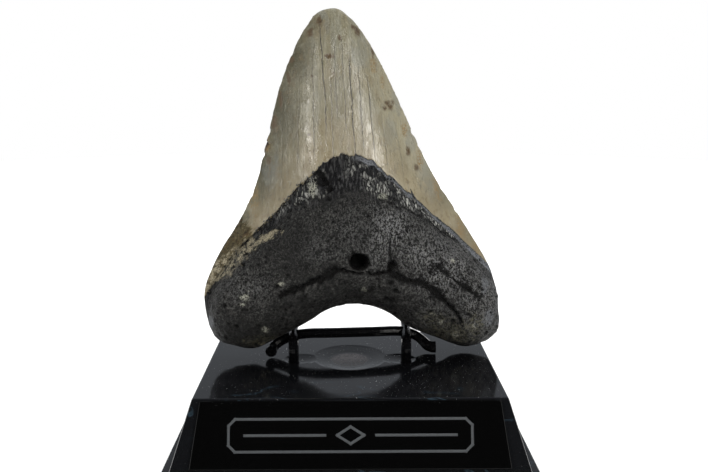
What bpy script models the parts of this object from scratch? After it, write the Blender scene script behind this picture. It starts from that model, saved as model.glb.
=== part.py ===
"""A fossil megalodon tooth on its black display stand.

The row frame is in metres, +Z up, with the origin at the centre of the stand's underside.
The stand's name plate, and the inner face of the tooth with its bulging root, look along -Y.
The tooth is drawn in a frame of its own: x across, z from the root to the tip, y through the
tooth, with y = 0 on the sheet that holds its two cutting edges and the rim of its root.
"""

import math

import bmesh
import bpy
import numpy as np
from mathutils import Euler, Matrix, Vector

MM = 0.001
TOUCH_GAP = 0.3 * MM

# Stand: a four-sided block with sloping walls on a wider foot.
PLATFORM_WIDTH = 100 * MM
PLATFORM_DEPTH = 67 * MM
WALL_SLOPE = math.tan(math.radians(17.3))
WALL_HEIGHT = 24 * MM
FOOT_HEIGHT = 6 * MM
FOOT_LEDGE = 3 * MM
PLATFORM_TOP = FOOT_HEIGHT + WALL_HEIGHT
STAND_EDGE = 0.5 * MM
DISH_DIAMETER = 27 * MM
DISH_SINK = 1.5 * MM
DISH_CENTRE_Y = 4.5 * MM
SOCKET_DENT = (13 * MM, 11 * MM, 0.8 * MM)
SOCKET_DENT_CENTRE = (17.2 * MM, 2.5 * MM)

# Name plate: a thin trapezoid that follows the slope of the front wall.
PLATE_TOP_WIDTH = 94.4 * MM
PLATE_FOOT_WIDTH = 100.4 * MM
PLATE_HEIGHT = 21.2 * MM
PLATE_THICKNESS = 1.4 * MM
PLATE_DROP = 0.5 * MM
PLATE_EDGE = 0.35 * MM

# Cradle: bent rod, dipped in black vinyl.
ROD_DIAMETER = 3.6 * MM
ROD_SIDES = 12
SOCKET_CLEARANCE = 0.3 * MM
SOCKET_DEPTH = 12 * MM
PRONG_HALF_SPACING = 20 * MM
PRONG_Y = 0.5 * MM
SHELF_HEIGHT = 7.3 * MM
SHELF_BACK_Y = {-1: 15.8 * MM, 1: 19.3 * MM}
PRONG_LENGTH = 50 * MM
PRONG_SPLAY = 1 * MM
BEND_RADIUS = 4 * MM

# Cross bar of the cradle, in millimetres above the platform, from its left foot to its right foot.
CROSS_BAR = [
    (-28.3, 3.6, 2.45), (-28.3, 5.2, 2.6), (-27.9, 6.8, 3.1), (-26.4, 8.2, 4.1), (-24, 9, 5.3),
    (-20.6, 9.1, 6.7), (-15, 8.4, 7.7), (-8, 8.2, 7.9), (0, 8.8, 7.9), (9, 9.8, 7.8), (16, 11.2, 7.6),
    (20, 12.4, 6.95), (23, 13, 5.95), (25.4, 12.6, 4.8), (27.2, 11.2, 3.55), (28.4, 9.4, 2.7),
    (29.7, 8.1, 2.45), (31.3, 8, 2.45),
]
CROSS_BAR_STEPS = 48
FOOT_SWELL = 1.18
SWELL_STEPS = 5

# Tooth: how it stands in the cradle.
TOOTH_TURN = math.radians(5)
TOOTH_LEAN = math.radians(8)
TOOTH_Y = 7.5 * MM

# Outline of the tooth in its own frame, in millimetres, each stretch a smooth curve.
LEFT_EDGE = [
    (-11.5, 121.5), (-17, 113), (-23.5, 97.5), (-29.5, 75), (-33, 62), (-39, 49.5),
    (-46, 38.5), (-51.3, 27), (-51.8, 20), (-50.5, 12.5), (-48.7, 8.3),
]
TIP = [(-11.5, 121.5), (-8.5, 123.5), (-4.3, 124.4), (-1.5, 123.7), (1, 121.7)]
RIGHT_EDGE = [
    (1, 121.7), (4, 118.9), (10.6, 109), (19, 92), (26.6, 74.7), (33, 62.5), (42, 48.3),
    (50.6, 34), (53.5, 27), (54.6, 20), (55.2, 11.5), (54.6, 6.6),
]
ROOT_RIM = [
    (-48.7, 8.3), (-46, 6), (-41, 4.5), (-37, 3.5), (-32.5, 4), (-23, 8.2), (-13.7, 13.3),
    (-9.6, 16), (-3.7, 18.3), (2.1, 18.7), (8.9, 17.3), (14.8, 14.6), (22.3, 8.9), (32.7, 5.1),
    (37, 3.3), (43, 1.6), (50.8, 3.7), (54.6, 6.6),
]
CURVE_STEPS = 600

# Depths of the tooth either side of its rim sheet.
# A row is a share of the way from the tip, 0, to the rim of the root, 1.
CROWN_FRONT = 13.5 * MM
CROWN_BACK = 4.5 * MM
CROWN_BASE_ROW = 0.55
CROWN_FLAT = 0.3
CROWN_TURN = 1.6
ENAMEL_STEP = 0.8 * MM
LOBE_FRONT = 11.5 * MM
LOBE_BACK = 6 * MM
BOSS_FRONT = 7.5 * MM
BOSS_BACK = 1.5 * MM
BOSS_HALF_WIDTH = 25 * MM
ROOT_ROUNDING = 11 * MM
CREST_ROW = 0.9
CREST_FOOT = 0.62

# Where the enamel ends: (share of the width from the left edge, row).
ENAMEL_EDGE = [
    (0, 0.88), (0.02, 0.83), (0.055, 0.71), (0.1, 0.63), (0.15, 0.575), (0.2, 0.54), (0.26, 0.521), (0.34, 0.508),
    (0.45, 0.499), (0.56, 0.499), (0.64, 0.504), (0.7, 0.513), (0.77, 0.543), (0.84, 0.573), (0.9, 0.618),
    (0.955, 0.7), (1, 0.8),
]

# Blood-vessel hole in the middle of the root.
FORAMEN = (2.1 * MM, 35.2 * MM)
FORAMEN_DIAMETER = 6.2 * MM
FORAMEN_DEPTH = 6 * MM
FORAMEN_SIDES = 20

# Grid of one side of the tooth, and the shares of its rows that reach the enamel's edge and the root's crest.
TOOTH_COLUMNS = 40
TOOTH_ROWS = 44
ENAMEL_SHARE = 0.44
CREST_SHARE = 0.84


def clear_scene():
    for item in list(bpy.data.objects):
        bpy.data.objects.remove(item)


def new_collection(name):
    made = bpy.data.collections.new(name)
    bpy.context.scene.collection.children.link(made)
    return made


def material(name, colour, roughness, metallic=0.0):
    made = bpy.data.materials.new(name)
    made.use_nodes = True
    shader = made.node_tree.nodes["Principled BSDF"]
    shader.inputs["Base Color"].default_value = (*colour, 1.0)
    shader.inputs["Roughness"].default_value = roughness
    shader.inputs["Metallic"].default_value = metallic
    return made


def object_from(bm, name, collection, look=None):
    mesh = bpy.data.meshes.new(name)
    bm.to_mesh(mesh)
    bm.free()
    made = bpy.data.objects.new(name, mesh)
    collection.objects.link(made)
    if look:
        mesh.materials.append(look)
    return made


def cut(target, cutter, operation="DIFFERENCE"):
    made = target.modifiers.new(cutter.name, "BOOLEAN")
    made.operation = operation
    made.object = cutter
    cutter.hide_render = True
    cutter.display_type = "WIRE"


def smoothstep(low, high, value):
    share = np.clip((value - low) / (high - low), 0, 1)
    return share * share * (3 - 2 * share)


def frustum(bottom, top, z_bottom, z_top):
    """A box whose top face is a different size; bottom and top are (width, depth)."""
    bm = bmesh.new()
    bmesh.ops.create_cube(bm, size=1)
    for corner in bm.verts:
        size = top if corner.co.z > 0 else bottom
        corner.co.x *= size[0]
        corner.co.y *= size[1]
        corner.co.z = z_top if corner.co.z > 0 else z_bottom
    return bm


def dome_cutter(name, radii, location, collection):
    """An ellipsoid whose lower cap scoops a shallow hollow."""
    bm = bmesh.new()
    bmesh.ops.create_uvsphere(bm, u_segments=32, v_segments=48, radius=1)
    bmesh.ops.scale(bm, vec=radii, verts=bm.verts)
    bmesh.ops.translate(bm, vec=location, verts=bm.verts)
    return object_from(bm, name, collection)


def hollow_radius(half_width, sink):
    """Radius of a ball whose cap is this wide and this deep."""
    return (half_width**2 + sink**2) / (2 * sink)


def make_block(parts, cutters, look):
    """The solid block: a straight foot, a ledge, and four sloping walls up to the platform."""
    wall_run = WALL_SLOPE * WALL_HEIGHT
    wall_foot = (PLATFORM_WIDTH + 2 * wall_run, PLATFORM_DEPTH + 2 * wall_run)
    foot = (wall_foot[0] + 2 * FOOT_LEDGE, wall_foot[1] + 2 * FOOT_LEDGE)
    block = object_from(frustum(foot, foot, 0, FOOT_HEIGHT), "stand_base", parts, look)
    overlap = FOOT_HEIGHT / 2
    deeper = (wall_foot[0] + 2 * WALL_SLOPE * overlap, wall_foot[1] + 2 * WALL_SLOPE * overlap)
    walls = frustum(deeper, (PLATFORM_WIDTH, PLATFORM_DEPTH), FOOT_HEIGHT - overlap, PLATFORM_TOP)
    cut(block, object_from(walls, "walls_shape", cutters), "UNION")
    edges = block.modifiers.new("rounded_edges", "BEVEL")
    edges.width = STAND_EDGE
    edges.segments = 2
    edges.limit_method = "ANGLE"
    return block


def sink_dish(stand, cutters):
    """The shallow round dish in the middle of the platform."""
    ball = hollow_radius(DISH_DIAMETER / 2, DISH_SINK)
    place = (0, DISH_CENTRE_Y, PLATFORM_TOP + ball - DISH_SINK)
    cut(stand, dome_cutter("dish_shape", (ball, ball, ball), place, cutters))


def sink_dent(stand, cutters, side, word):
    """A shallow oval dent beside a socket."""
    x, y = SOCKET_DENT_CENTRE
    width, depth, sink = SOCKET_DENT
    tall = hollow_radius(width / 2, sink)
    radii = (tall, tall * depth / width, tall)
    place = (side * x, y, PLATFORM_TOP + tall - sink)
    cut(stand, dome_cutter(f"dent_{word}_shape", radii, place, cutters))


def bore_socket(stand, cutters, side, word):
    """A bored hole that holds one prong of the cradle."""
    bm = bmesh.new()
    radius = ROD_DIAMETER / 2 + SOCKET_CLEARANCE
    bmesh.ops.create_cone(
        bm, cap_ends=True, segments=2 * ROD_SIDES, radius1=radius, radius2=radius, depth=2 * SOCKET_DEPTH
    )
    bmesh.ops.translate(bm, vec=(side * PRONG_HALF_SPACING, PRONG_Y, PLATFORM_TOP), verts=bm.verts)
    cut(stand, object_from(bm, f"socket_{word}_shape", cutters))


def make_stand(parts, cutters, look):
    stand = make_block(parts, cutters, look)
    sink_dish(stand, cutters)
    for side, word in ((-1, "left"), (1, "right")):
        sink_dent(stand, cutters, side, word)
        bore_socket(stand, cutters, side, word)
    return stand


def make_plate(parts, look):
    """The name plate, drawn flat and then laid against the sloping front wall."""
    bm = bmesh.new()
    bmesh.ops.create_cube(bm, size=1)
    for corner in bm.verts:
        corner.co.x *= PLATE_TOP_WIDTH if corner.co.z > 0 else PLATE_FOOT_WIDTH
        corner.co.y *= PLATE_THICKNESS
        corner.co.z = 0 if corner.co.z > 0 else -PLATE_HEIGHT
    plate = object_from(bm, "name_plate", parts, look)
    tilt = math.atan(WALL_SLOPE)
    outward = Vector((0, -math.cos(tilt), math.sin(tilt)))
    edge = Vector((0, -PLATFORM_DEPTH / 2, PLATFORM_TOP))
    down = Vector((0, -math.sin(tilt), -math.cos(tilt)))
    plate.location = edge + down * PLATE_DROP + outward * (TOUCH_GAP + PLATE_THICKNESS / 2)
    plate.rotation_euler = Euler((-tilt, 0, 0))
    rim = plate.modifiers.new("bevelled_rim", "BEVEL")
    rim.width = PLATE_EDGE
    rim.segments = 2
    return plate


def rounded_route(corners, radius, steps=6):
    """Points along straight runs joined by arcs. Each corner is (x, y, z); the first and last are ends."""
    points = [Vector(corners[0])]
    for before, here, after in zip(corners, corners[1:], corners[2:]):
        before, here, after = Vector(before), Vector(here), Vector(after)
        arriving = (here - before).normalized()
        leaving = (after - here).normalized()
        half_turn = arriving.angle(leaving) / 2
        reach = radius * math.tan(half_turn)
        start = here - arriving * reach
        centre = here + (leaving - arriving).normalized() * (radius / math.cos(half_turn))
        axis = arriving.cross(leaving).normalized()
        for step in range(steps + 1):
            turn = Matrix.Rotation(2 * half_turn * step / steps, 3, axis)
            points.append(centre + turn @ (start - centre))
    points.append(Vector(corners[-1]))
    return points


def rod(name, points, collection, swell=1.0):
    """A round rod along the points, as a closed mesh. Swell thickens its ends, where the dip gathers."""
    curve = bpy.data.curves.new(name, "CURVE")
    curve.dimensions = "3D"
    curve.bevel_depth = ROD_DIAMETER / 2
    curve.bevel_resolution = ROD_SIDES // 4
    curve.use_fill_caps = True
    spline = curve.splines.new("POLY")
    spline.points.add(len(points) - 1)
    for step, (knot, place) in enumerate(zip(spline.points, points)):
        knot.co = (*place, 1)
        from_end = min(step, len(points) - 1 - step)
        knot.radius = 1 + (swell - 1) * max(0, 1 - from_end / SWELL_STEPS)
    holder = bpy.data.objects.new(name + "_route", curve)
    collection.objects.link(holder)
    bpy.context.view_layer.update()
    evaluated = holder.evaluated_get(bpy.context.evaluated_depsgraph_get())
    mesh = bpy.data.meshes.new_from_object(evaluated)
    bpy.data.objects.remove(holder)
    bm = bmesh.new()
    bm.from_mesh(mesh)
    bmesh.ops.remove_doubles(bm, verts=bm.verts, dist=0.01 * MM)
    bmesh.ops.recalc_face_normals(bm, faces=bm.faces)
    bpy.data.meshes.remove(mesh)
    return object_from(bm, name, collection)


def prong_corners(side):
    """From its socket a rod rises, runs back as a shelf under the root, and climbs behind the tooth."""
    shelf = PLATFORM_TOP + SHELF_HEIGHT
    back_y = SHELF_BACK_Y[side]
    climb = Vector((0, math.sin(TOOTH_LEAN), math.cos(TOOTH_LEAN))) * PRONG_LENGTH
    x = side * PRONG_HALF_SPACING
    splayed = side * (PRONG_HALF_SPACING + PRONG_SPLAY)
    return [
        (x, PRONG_Y, PLATFORM_TOP - SOCKET_DEPTH + TOUCH_GAP),
        (x, PRONG_Y, shelf),
        (splayed, back_y, shelf),
        (splayed, back_y + climb.y, shelf + climb.z),
    ]


def make_cradle(parts, cutters, look):
    """The cross bar with its two bent feet, welded to the two prongs."""
    route = smooth_curve(CROSS_BAR, CROSS_BAR_STEPS, scale=MM, lift=PLATFORM_TOP)
    cradle = rod("cradle_frame", route, parts, swell=FOOT_SWELL)
    cradle.data.materials.append(look)
    for side, word in ((-1, "left"), (1, "right")):
        prong = rod(f"prong_{word}_shape", rounded_route(prong_corners(side), BEND_RADIUS), cutters)
        cut(cradle, prong, "UNION")
    return cradle


def smooth_curve(points, count, scale=1.0, lift=0.0):
    """A Catmull-Rom curve through the points, sampled at even steps of length."""
    knots = np.array(points, float)
    padded = np.vstack([2 * knots[0] - knots[1], knots, 2 * knots[-1] - knots[-2]])
    share = np.linspace(0, 1, 24, endpoint=False)[:, None]
    runs = []
    for a, b, c, d in zip(padded, padded[1:], padded[2:], padded[3:]):
        runs.append(
            0.5 * (2 * b + (c - a) * share + (2 * a - 5 * b + 4 * c - d) * share**2
                   + (3 * b - a - 3 * c + d) * share**3)
        )
    line = np.vstack([*runs, knots[-1:]])
    travelled = np.concatenate([[0], np.cumsum(np.linalg.norm(np.diff(line, axis=0), axis=1))])
    at = np.linspace(0, travelled[-1], count + 1)
    even = np.stack([np.interp(at, travelled, line[:, i]) for i in range(line.shape[1])], axis=1) * scale
    even[:, -1] += lift
    return even


def along(curve, share):
    """Points of an evenly sampled curve at shares of its length."""
    places = np.linspace(0, 1, len(curve))
    return np.stack([np.interp(share, places, curve[:, i]) for i in range(2)], axis=-1)


def tooth_plan(u, v, edges):
    """Where grid point (u, v) lies in the outline: u from the left edge to the right, v from tip to root."""
    left, right, tip, rim = edges
    u, v = u[..., None], v[..., None]
    rows = (1 - v) * along(tip, u[..., 0]) + v * along(rim, u[..., 0])
    columns = (1 - u) * along(left, v[..., 0]) + u * along(right, v[..., 0])
    corners = (1 - u) * (1 - v) * tip[0] + u * (1 - v) * tip[-1] + (1 - u) * v * rim[0] + u * v * rim[-1]
    return rows + columns - corners


def distance_to(points, outline):
    """Shortest distance from each point to the closed outline."""
    start, run = outline, np.roll(outline, -1, axis=0) - outline
    length = (run**2).sum(1)
    nearest = np.full(len(points), np.inf)
    for a, r, l2 in zip(start, run, length):
        if l2 == 0:
            continue
        share = np.clip(((points - a) @ r) / l2, 0, 1)
        nearest = np.minimum(nearest, np.linalg.norm(points - a - share[:, None] * r, axis=1))
    return nearest


def rounding(distance, reach):
    """A quarter circle: 0 at the rim, 1 from reach inwards."""
    share = np.clip(distance / reach, 0, 1)
    return np.sqrt(1 - (1 - share) ** 2)


def enamel_row(u):
    """Row where the enamel ends: an arch over the root, with wings that run down both sides."""
    edge = smooth_curve(ENAMEL_EDGE, CURVE_STEPS)
    return np.interp(u, edge[:, 0], edge[:, 1])


def tooth_row(share, u):
    """Row at a share of the grid's height. One grid line follows the enamel's edge and one the crest."""
    edge = enamel_row(u)
    crest = np.maximum(CREST_ROW, edge + 0.04)
    knots = [share / ENAMEL_SHARE, (share - ENAMEL_SHARE) / (CREST_SHARE - ENAMEL_SHARE)]
    base = np.clip((share - CREST_SHARE) / (1 - CREST_SHARE), 0, 1)
    crown = np.clip(knots[0], 0, 1) ** 1.15 * edge
    root = np.clip(knots[1], 0, 1) * (crest - edge)
    return crown + root + (1 - (1 - base) ** 1.6) * (1 - crest)


def tooth_depths(u, v, x, inward):
    """Depth of the tooth in front of and behind its rim sheet."""
    side = np.abs(2 * u - 1)
    edge = enamel_row(u)
    rootward = smoothstep(edge, edge + 0.17, v)
    growth = np.minimum(v / CROWN_BASE_ROW, 1.05) ** 0.62
    facet = np.clip((side - CROWN_FLAT) / (1 - CROWN_FLAT), 0, 1)
    crown_front = CROWN_FRONT * growth * (1 - facet**CROWN_TURN) * (1 - 0.04 * side**2)
    crown_back = CROWN_BACK * growth * (1 - side**2.2)
    boss = np.exp(-((x / BOSS_HALF_WIDTH) ** 2))
    crest = CREST_FOOT + (1 - CREST_FOOT) * np.clip((1 - v) / (1 - CREST_ROW), 0, 1)
    root_front = (LOBE_FRONT + BOSS_FRONT * boss) * rounding(inward, ROOT_ROUNDING) * crest
    root_back = (LOBE_BACK + BOSS_BACK * boss) * rounding(inward, ROOT_ROUNDING * 0.75)
    ledge = ENAMEL_STEP * smoothstep(edge, edge + 0.012, v) * (1 - rootward)
    front = crown_front + (root_front - crown_front) * rootward
    front -= ledge * np.clip(crown_front / (4 * ENAMEL_STEP), 0, 1)
    back = crown_back + (root_back - crown_back) * rootward
    back -= 0.5 * ledge * np.clip(crown_back / (4 * ENAMEL_STEP), 0, 1)
    return np.maximum(front, 0), np.maximum(back, 0)


def denser_at_edges(share, pull=0.45):
    """Moves evenly spaced shares towards both ends of the range."""
    return (1 - pull) * share + pull * (0.5 - 0.5 * np.cos(math.pi * share))


def tooth_side(bm, edges, outline, facing):
    """One face of the tooth, from a flat grid: facing is -1 for the front and 1 for the back."""
    sheet = bmesh.ops.create_grid(bm, x_segments=TOOTH_COLUMNS, y_segments=TOOTH_ROWS, size=0.5)["verts"]
    places = np.array([corner.co[:2] for corner in sheet])
    u = denser_at_edges(np.clip(0.5 + places[:, 0], 0, 1))
    v = tooth_row(np.clip(0.5 - places[:, 1], 0, 1), u)
    plan = tooth_plan(u, v, edges)
    on_rim = (u < 1e-6) | (u > 1 - 1e-6) | (v < 1e-6) | (v > 1 - 1e-6)
    inward = np.where(on_rim, 0, distance_to(plan, outline))
    front, back = tooth_depths(u, v, plan[:, 0], inward)
    depth = np.where(on_rim, 0, facing * (front if facing < 0 else back))
    for corner, place, y in zip(sheet, plan, depth):
        corner.co = (place[0], y, place[1])


def cut_foramen(tooth, cutters):
    """The blind hole that fed the living tooth, in the swell of the root."""
    bm = bmesh.new()
    bmesh.ops.create_cone(
        bm, cap_ends=True, segments=FORAMEN_SIDES, depth=2 * FORAMEN_DEPTH,
        radius1=FORAMEN_DIAMETER / 2, radius2=FORAMEN_DIAMETER * 0.35,
        matrix=Matrix.Rotation(-math.pi / 2, 4, "X"),
    )
    mouth = LOBE_FRONT + BOSS_FRONT
    bmesh.ops.translate(bm, vec=(FORAMEN[0], -mouth, FORAMEN[1]), verts=bm.verts)
    pit = object_from(bm, "foramen_shape", cutters)
    pit.parent = tooth
    cut(tooth, pit)


def make_tooth(parts, cutters, look):
    edges = [smooth_curve(run, CURVE_STEPS, scale=MM) for run in (LEFT_EDGE, RIGHT_EDGE, TIP, ROOT_RIM)]
    left, right, tip, rim = edges
    coarse = slice(None, None, 4)
    outline = np.vstack([tip[coarse], right[coarse], rim[::-1][coarse], left[::-1][coarse]])
    bm = bmesh.new()
    tooth_side(bm, edges, outline, -1)
    tooth_side(bm, edges, outline, 1)
    bmesh.ops.remove_doubles(bm, verts=bm.verts, dist=0.001 * MM)
    bmesh.ops.recalc_face_normals(bm, faces=bm.faces)
    tooth = object_from(bm, "tooth", parts, look)
    tooth.location = (0, TOOTH_Y, PLATFORM_TOP)
    tooth.rotation_euler = Euler((-TOOTH_LEAN, 0, TOOTH_TURN))
    tooth.data.shade_smooth()
    cut_foramen(tooth, cutters)
    return tooth


def main():
    clear_scene()
    parts = new_collection("megalodon_tooth_on_stand")
    cutters = new_collection("cutters")
    resin = material("black_resin", (0.008, 0.009, 0.011), 0.12)
    plate = material("black_plate", (0.004, 0.004, 0.004), 0.1)
    vinyl = material("black_vinyl", (0.01, 0.01, 0.01), 0.25)
    fossil = material("fossil", (0.16, 0.15, 0.12), 0.45)
    make_stand(parts, cutters, resin)
    make_plate(parts, plate)
    make_cradle(parts, cutters, vinyl)
    make_tooth(parts, cutters, fossil)


main()
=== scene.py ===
"""A fossil megalodon tooth in its cradle on a glossy black stand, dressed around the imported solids."""

import itertools
import math

import bmesh
import bpy
import numpy as np
from bpy.props import FloatProperty, FloatVectorProperty, IntProperty, PointerProperty
from mathutils import Euler, Matrix, Vector


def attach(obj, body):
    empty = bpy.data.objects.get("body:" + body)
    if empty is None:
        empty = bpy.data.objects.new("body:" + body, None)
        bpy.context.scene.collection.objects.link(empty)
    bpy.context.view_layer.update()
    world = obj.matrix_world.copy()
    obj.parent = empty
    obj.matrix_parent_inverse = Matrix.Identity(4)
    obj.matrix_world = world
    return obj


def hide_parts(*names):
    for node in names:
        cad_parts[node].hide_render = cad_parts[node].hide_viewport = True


bl_info = {
    "name": "Fossil Tooth on a Stand",
    "version": (1, 0, 0),
    "blender": (4, 5, 0),
    "location": "3D View > Sidebar > Fossil Tooth",
    "description": "Builds a fossil megalodon tooth, its rod cradle, its stand and a pale studio",
    "category": "Add Mesh",
}

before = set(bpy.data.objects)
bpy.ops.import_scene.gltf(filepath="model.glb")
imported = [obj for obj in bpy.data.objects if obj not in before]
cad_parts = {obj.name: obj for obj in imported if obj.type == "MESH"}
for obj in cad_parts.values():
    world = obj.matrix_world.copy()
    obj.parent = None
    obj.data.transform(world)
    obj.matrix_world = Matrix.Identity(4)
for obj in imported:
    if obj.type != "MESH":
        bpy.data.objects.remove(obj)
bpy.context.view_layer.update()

MM = 0.001
BODY = "root"

# Stand.
PLATFORM_DEPTH = 67 * MM
PLATFORM_TOP = 30 * MM
DISH_CENTRE = 4.5 * MM
WALL_SLOPE = math.tan(math.radians(17.3))

# Name plate, in its own flat frame: x across, z up the slope with 0 at its upper edge, -y outwards.
PLATE_TOP_WIDTH = 94.4 * MM
PLATE_FOOT_WIDTH = 100.4 * MM
PLATE_HEIGHT = 21.2 * MM
PLATE_THICKNESS = 1.4 * MM
PLATE_DROP = 0.5 * MM
PLATE_GAP = 0.3 * MM
PLATE_EDGE = 0.35 * MM

# Engraving on the plate: a framed lozenge between two lines, in millimetres but for the last three.
ORNAMENT_WIDTH = 76
ORNAMENT_HEIGHT = 10
ORNAMENT_CORNER = 2
ORNAMENT_CENTRE = -10.6 * MM
ORNAMENT_STROKE = 0.9 * MM
ENGRAVING_DEPTH = 0.25 * MM

# How the tooth stands. Its own frame has x across, z from the root to the tip and y through it.
TOOTH_TURN = math.radians(5)
TOOTH_LEAN = math.radians(8)
TOOTH_Y = 7.5 * MM
TOOTH_PLACE = (0, TOOTH_Y, PLATFORM_TOP)
TOOTH_TILT = Euler((-TOOTH_LEAN, 0, TOOTH_TURN))

# Outline of the tooth in its own frame, in millimetres, each stretch a smooth curve.
LEFT_EDGE = [
    (-11.5, 121.5), (-17, 113), (-23.5, 97.5), (-29.5, 75), (-33, 62), (-39, 49.5), (-46, 38.5),
    (-51.3, 27), (-51.8, 20), (-50.5, 12.5), (-48.7, 8.3),
]
TIP = [(-11.5, 121.5), (-8.5, 123.5), (-4.3, 124.4), (-1.5, 123.7), (1, 121.7)]
RIGHT_EDGE = [
    (1, 121.7), (4, 118.9), (10.6, 109), (19, 92), (26.6, 74.7), (33, 62.5), (42, 48.3), (50.6, 34),
    (53.5, 27), (54.6, 20), (55.2, 11.5), (54.6, 6.6),
]
ROOT_RIM = [
    (-48.7, 8.3), (-46, 6), (-41, 4.5), (-37, 3.5), (-32.5, 4), (-23, 8.45), (-13.7, 13.3), (-9.6, 16),
    (-3.7, 18.3), (2.1, 18.7), (8.9, 17.3), (14.8, 14.6), (22.3, 9.25), (32.7, 5), (37, 3.2), (43, 1.6),
    (50.8, 3.7), (54.6, 6.6),
]
CURVE_STEPS = 600

# Depths of the tooth either side of its rim sheet. Rows run from 0 at the tip to 1 at the root's rim.
CROWN_FRONT = 13.5 * MM
CROWN_BACK = 4.5 * MM
CROWN_BASE_ROW = 0.55
CROWN_FLAT = 0.3
CROWN_TURN = 1.6
ENAMEL_STEP = 0.8 * MM
LOBE_FRONT = 11.5 * MM
LOBE_BACK = 5.7 * MM
BOSS_FRONT = 7.5 * MM
BOSS_BACK = 1.5 * MM
BOSS_HALF_WIDTH = 25 * MM
ROOT_ROUNDING = 11 * MM
CREST_ROW = 0.9
CREST_FOOT = 0.62

# Where the enamel ends: (share of the width from the left edge, row).
ENAMEL_EDGE = [
    (0, 0.88), (0.02, 0.83), (0.055, 0.71), (0.1, 0.63), (0.15, 0.575), (0.2, 0.54), (0.26, 0.521),
    (0.34, 0.508), (0.45, 0.499), (0.56, 0.499), (0.64, 0.504), (0.7, 0.513), (0.77, 0.543),
    (0.84, 0.573), (0.9, 0.618), (0.955, 0.7), (1, 0.8),
]
ENAMEL_SHARE = 0.46
CREST_SHARE = 0.86

# Blood-vessel hole in the middle of the root, in millimetres: x, z, half width, half height, depth.
FORAMEN = (2.2, 35.4, 3.6, 3.1, 6)

# Marks on the front of the tooth, in its own frame, in millimetres.
# Long cracks down the enamel: x at the top, middle and bottom, z of their start and end, and how open.
CRACKS = [
    (-21.5, -22.5, -23.5, 92, 60, 0.25),
    (-16.2, -17, -18.2, 100, 64, 0.3),
    (-12.2, -12.1, -12.6, 108, 70, 0.55),
    (-9.6, -8.2, -7.6, 119, 80, 0.95),
    (-6.4, -6, -5.9, 100, 69, 0.5),
    (-4.7, -4.4, -3.6, 113, 84, 0.5),
    (-2.2, -1.5, -0.6, 115, 78, 0.6),
    (0.4, 0.9, 1.8, 108, 70, 1),
    (3.2, 4.1, 4.9, 104, 72, 0.7),
    (6.6, 7.3, 8.8, 100, 70, 0.75),
    (9.6, 11.2, 13.2, 88, 66, 0.4),
    (12.5, 15.6, 19, 84, 60, 0.3),
]
CRACK_ROWS = (118, 94, 68)

# Soft spots of colour: x, z, half width, half height.
SPOTS = {}
SPOTS["brown"] = [
    (-2.4, 113.1, 0.7, 1.1), (-6.2, 106.4, 1.5, 0.8), (-12.4, 99.3, 0.5, 0.6), (14.2, 90.6, 1.3, 1),
    (15.4, 89.2, 1.5, 1.1), (13.2, 88.4, 0.8, 0.8), (16.6, 91, 0.8, 0.9), (-14, 79, 0.9, 0.5),
    (-28, 70.6, 0.9, 1.6), (4.2, 115.8, 1, 1.8), (-9.4, 119.6, 1, 2), (-13, 115.6, 1.2, 1.6),
    (21.5, 73.4, 1, 1.6), (24.6, 67.6, 1.2, 1.2), (-19.6, 106, 1.2, 1.2), (9.8, 108.6, 0.7, 2.2),
    (-26, 84, 1, 3), (-23.6, 92, 0.8, 2.6), (-29.4, 76, 0.9, 3), (-5, 100.4, 0.5, 0.5),
    (-20.6, 99.4, 0.7, 2.2), (2.6, 117.4, 0.8, 0.8),
]
SPOTS["ochre"] = [
    (9.6, 104.2, 1.4, 3.4), (12.8, 98.2, 1, 2.2), (20.8, 81.2, 1.3, 2.6), (26, 70.2, 1.3, 4),
    (32.5, 60.5, 1.6, 5), (41, 46, 1.8, 6), (47, 36.5, 1.6, 5), (-28.6, 76, 1, 3), (5.6, 118.2, 1, 2),
    (-34, 58, 2, 6),
]
SPOTS["slate"] = [
    (27.2, 66.5, 3.2, 5), (18.5, 91.3, 2.6, 5), (4.5, 107, 3.6, 5), (14.4, 79, 3, 6), (30.4, 60, 3, 5),
    (-27, 66, 3, 6), (-6.8, 118.2, 1.2, 4.2), (-8, 121.4, 1.6, 2.4), (23, 78, 2, 5),
]
# Sandy film along the root's left wing: a chain of (x, z, half width). Then small patches of it.
TAN_FILM = [
    (-52, 26.5, 2.8), (-48.8, 29.8, 3.4), (-44.6, 33.4, 4), (-40.1, 37.2, 3.4), (-35.2, 40.8, 2.6),
    (-30.3, 43.5, 1.9), (-24.4, 46, 1.2),
]
SPOTS["tan"] = [(-31, 5.6, 2, 0.8)]
SPOTS["pale"] = [
    (3.9, 25.6, 0.8, 1), (-24.8, 28, 1.1, 0.7), (-37.2, 23.4, 1.5, 1.2), (-30.4, 11.4, 1.4, 1.2),
    (32, 12.4, 1.2, 0.8), (38, 7.4, 1.5, 1), (-13.2, 61, 1.5, 3.2), (28.5, 15.5, 1.2, 0.8),
    (44, 11, 1, 0.8), (35.6, 34.4, 0.8, 0.8), (-38, 21, 0.9, 0.6), (-35.6, 25.4, 0.5, 0.5),
    (10.6, 57.4, 1.6, 1), (34.6, 18.2, 0.6, 0.5),
]
SPOTS["olive"] = [(-32, 7, 7, 2.4), (37, 8.5, 10, 5), (29, 13.6, 6, 3), (44, 12, 4, 4)]
# Worn places of the root, smooth and bluish.
WORN_SPOTS = [(49.6, 13.4, 2.4, 3.2), (-49.4, 13.6, 1.3, 2.6), (47.6, 25, 1.6, 3)]

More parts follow.
